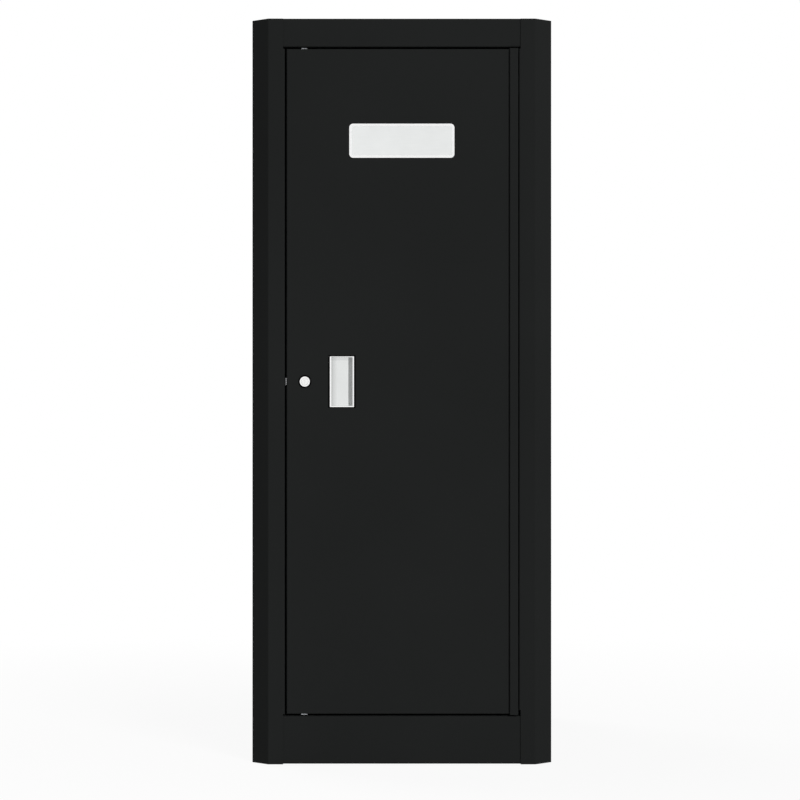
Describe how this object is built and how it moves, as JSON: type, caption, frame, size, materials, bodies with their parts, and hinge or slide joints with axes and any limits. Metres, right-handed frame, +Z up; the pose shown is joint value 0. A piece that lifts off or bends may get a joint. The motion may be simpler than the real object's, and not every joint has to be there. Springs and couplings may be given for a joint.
{
  "type": "tool chest side locker",
  "caption": "Tall narrow steel locker with chamfered corner posts, one full-height hinged door with a recessed pull and a three-point lock, and adjustable shelves inside.",
  "frame": {"origin": "on the floor under the middle of the locker's overall box", "axes": "+Z up, the door faces -Y, +X to the right of someone facing the door"},
  "size_m": [0.4572, 0.6396, 1.134],
  "materials": {
    "powder_coat": "satin black powder coat",
    "zinc_steel": "bright zinc plate",
    "satin_silver": "satin silver",
    "bright_chrome": "bright nickel",
    "nylon": "moulded nylon",
    "rubber": "moulded rubber"
  },
  "bodies": {
    "carcass": {"corner_post_left": "powder_coat", "corner_post_right": "powder_coat", "top_rail": "powder_coat", "bottom_rail": "powder_coat", "side_panel_left": "powder_coat", "side_panel_right": "powder_coat", "top_panel": "powder_coat", "top_frame": "powder_coat", "floor_panel": "powder_coat", "back_panel": "powder_coat", "base_channel_left": "powder_coat", "base_channel_right": "powder_coat", "back_rivets": "zinc_steel", "shelf_standard_front_left": "zinc_steel", "shelf_standard_front_right": "zinc_steel", "shelf_standard_back_left": "zinc_steel", "shelf_standard_back_right": "zinc_steel", "shelf_clips": "zinc_steel", "shelf_lower": "powder_coat", "shelf_middle": "powder_coat", "shelf_upper": "powder_coat", "door_bumpers": "rubber", "hinge_frame_leaf": "powder_coat", "hinge_pin": "zinc_steel", "hinge_frame_screws": "zinc_steel"},
    "door": {"door_skin": "powder_coat", "door_stiffener": "powder_coat", "pull_cup": "satin_silver", "door_badge": "satin_silver", "hinge_door_leaf": "powder_coat", "hinge_door_rivets": "zinc_steel", "lock_housing": "bright_chrome", "lock_nut": "zinc_steel", "rod_guide_top_upper": "nylon", "rod_guide_top_lower": "nylon", "rod_guide_bottom_upper": "nylon", "rod_guide_bottom_lower": "nylon", "bolt_guide": "nylon"},
    "lock_core": {"lock_plug": "bright_chrome", "lock_cam": "zinc_steel", "cam_screw": "zinc_steel"},
    "top_rod": {"top_rod": "zinc_steel"},
    "bottom_rod": {"bottom_rod": "zinc_steel"},
    "side_bolt": {"side_bolt": "zinc_steel"}
  },
  "joints": [
    {"name": "door_hinge", "type": "hinge", "parent": "carcass", "child": "door", "pos_m": [0.17045, -0.31555, 0.582], "axis": [0, 0, 1], "range_deg": [0, 120]},
    {"name": "lock_turn", "type": "hinge", "parent": "door", "child": "lock_core", "pos_m": [-0.1475, -0.31, 0.582], "axis": [0, -1, 0], "range_deg": [0, 90]},
    {"name": "top_rod_slide", "type": "slide", "parent": "door", "child": "top_rod", "axis": [0, 0, 1], "range_m": [0, 0.01414]},
    {"name": "bottom_rod_slide", "type": "slide", "parent": "door", "child": "bottom_rod", "axis": [0, 0, -1], "range_m": [0, 0.01414]},
    {"name": "side_bolt_slide", "type": "slide", "parent": "door", "child": "side_bolt", "axis": [-1, 0, 0], "range_m": [0, 0.01414]}
  ],
  "couplings": [
    {"joint": "lock_turn", "follows": "top_rod_slide", "rad_per_m": 111},
    {"joint": "bottom_rod_slide", "follows": "top_rod_slide", "ratio": 1},
    {"joint": "side_bolt_slide", "follows": "top_rod_slide", "ratio": 1}
  ]
}
